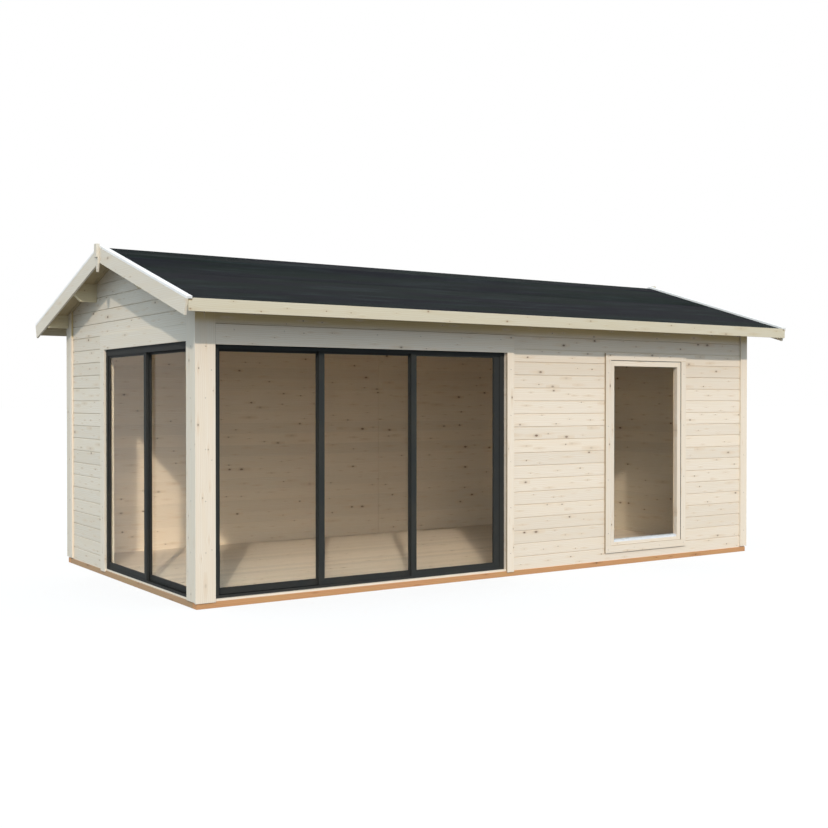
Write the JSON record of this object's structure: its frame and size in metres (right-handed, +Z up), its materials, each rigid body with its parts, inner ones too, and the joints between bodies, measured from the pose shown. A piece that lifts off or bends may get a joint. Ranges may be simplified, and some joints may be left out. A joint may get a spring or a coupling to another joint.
{
  "type": "garden cabin",
  "caption": "Gable-roofed timber garden cabin with board walls, a felt roof, glazed sliding doors on the front and the gable, and a tall fixed window.",
  "frame": {"origin": "on the ground, under the middle of the cabin", "axes": "+X along the long front, towards the window; +Y from the front to the back; +Z up"},
  "size_m": [6.45, 3.685, 2.8249],
  "materials": {
    "spruce_timber": "planed, unpainted",
    "treated_timber": "pressure treated",
    "floor_timber": "planed, unpainted",
    "dark_aluminium": "dark powder coat",
    "clear_glass": "clear",
    "roof_felt": "mineral felt",
    "white_cap": "white paint",
    "white_bead": "smooth white"
  },
  "bodies": {
    "cabin": {"long_bearers": "treated_timber", "end_bearers": "treated_timber", "floor_joists": "treated_timber", "floor_boards": "floor_timber", "near_corner_wall": "spruce_timber", "front_wall_over_door": "spruce_timber", "front_wall_middle": "spruce_timber", "front_wall_under_window": "spruce_timber", "front_wall_over_window": "spruce_timber", "front_wall_right": "spruce_timber", "back_wall": "spruce_timber", "left_wall_beside_door": "spruce_timber", "left_wall_gable": "spruce_timber", "right_wall": "spruce_timber", "ridge_purlin": "spruce_timber", "side_purlins": "spruce_timber", "front_eave_beam": "spruce_timber", "back_eave_beam": "spruce_timber", "front_roof_boards": "spruce_timber", "back_roof_boards": "spruce_timber", "front_roof_felt": "roof_felt", "back_roof_felt": "roof_felt", "eave_fascias": "spruce_timber", "front_bargeboards": "spruce_timber", "back_bargeboards": "spruce_timber", "front_verge_caps": "white_cap", "back_verge_caps": "white_cap", "finials": "spruce_timber", "front_corner_boards": "spruce_timber", "back_corner_boards": "spruce_timber", "front_door_casing": "spruce_timber", "side_door_casing": "spruce_timber", "front_door_threshold": "floor_timber", "side_door_threshold": "floor_timber", "front_door_frame": "dark_aluminium", "side_door_frame": "dark_aluminium", "side_door_lining": "spruce_timber", "window_casing": "spruce_timber", "window_sash": "spruce_timber", "window_glass": "clear_glass", "window_bead": "white_bead"},
    "front_door_corner": {"front_door_corner_panel": "dark_aluminium", "front_door_corner_glass": "clear_glass"},
    "front_door_middle": {"front_door_middle_panel": "dark_aluminium", "front_door_middle_glass": "clear_glass"},
    "front_door_far": {"front_door_far_panel": "dark_aluminium", "front_door_far_glass": "clear_glass"},
    "side_door_corner": {"side_door_corner_panel": "dark_aluminium", "side_door_corner_glass": "clear_glass"},
    "side_door_far": {"side_door_far_panel": "dark_aluminium", "side_door_far_glass": "clear_glass"}
  },
  "joints": [
    {"name": "front_door_corner_slide", "type": "slide", "parent": "cabin", "child": "front_door_corner", "axis": [1, 0, 0], "range_m": [0, 1.754]},
    {"name": "front_door_middle_slide", "type": "slide", "parent": "cabin", "child": "front_door_middle", "axis": [1, 0, 0], "range_m": [-0.899, 0.899]},
    {"name": "front_door_far_slide", "type": "slide", "parent": "cabin", "child": "front_door_far", "axis": [1, 0, 0], "range_m": [-1.754, 0]},
    {"name": "side_door_corner_slide", "type": "slide", "parent": "cabin", "child": "side_door_corner", "axis": [0, 1, 0], "range_m": [0, 0.8685]},
    {"name": "side_door_far_slide", "type": "slide", "parent": "cabin", "child": "side_door_far", "axis": [0, 1, 0], "range_m": [-0.8685, 0]}
  ]
}
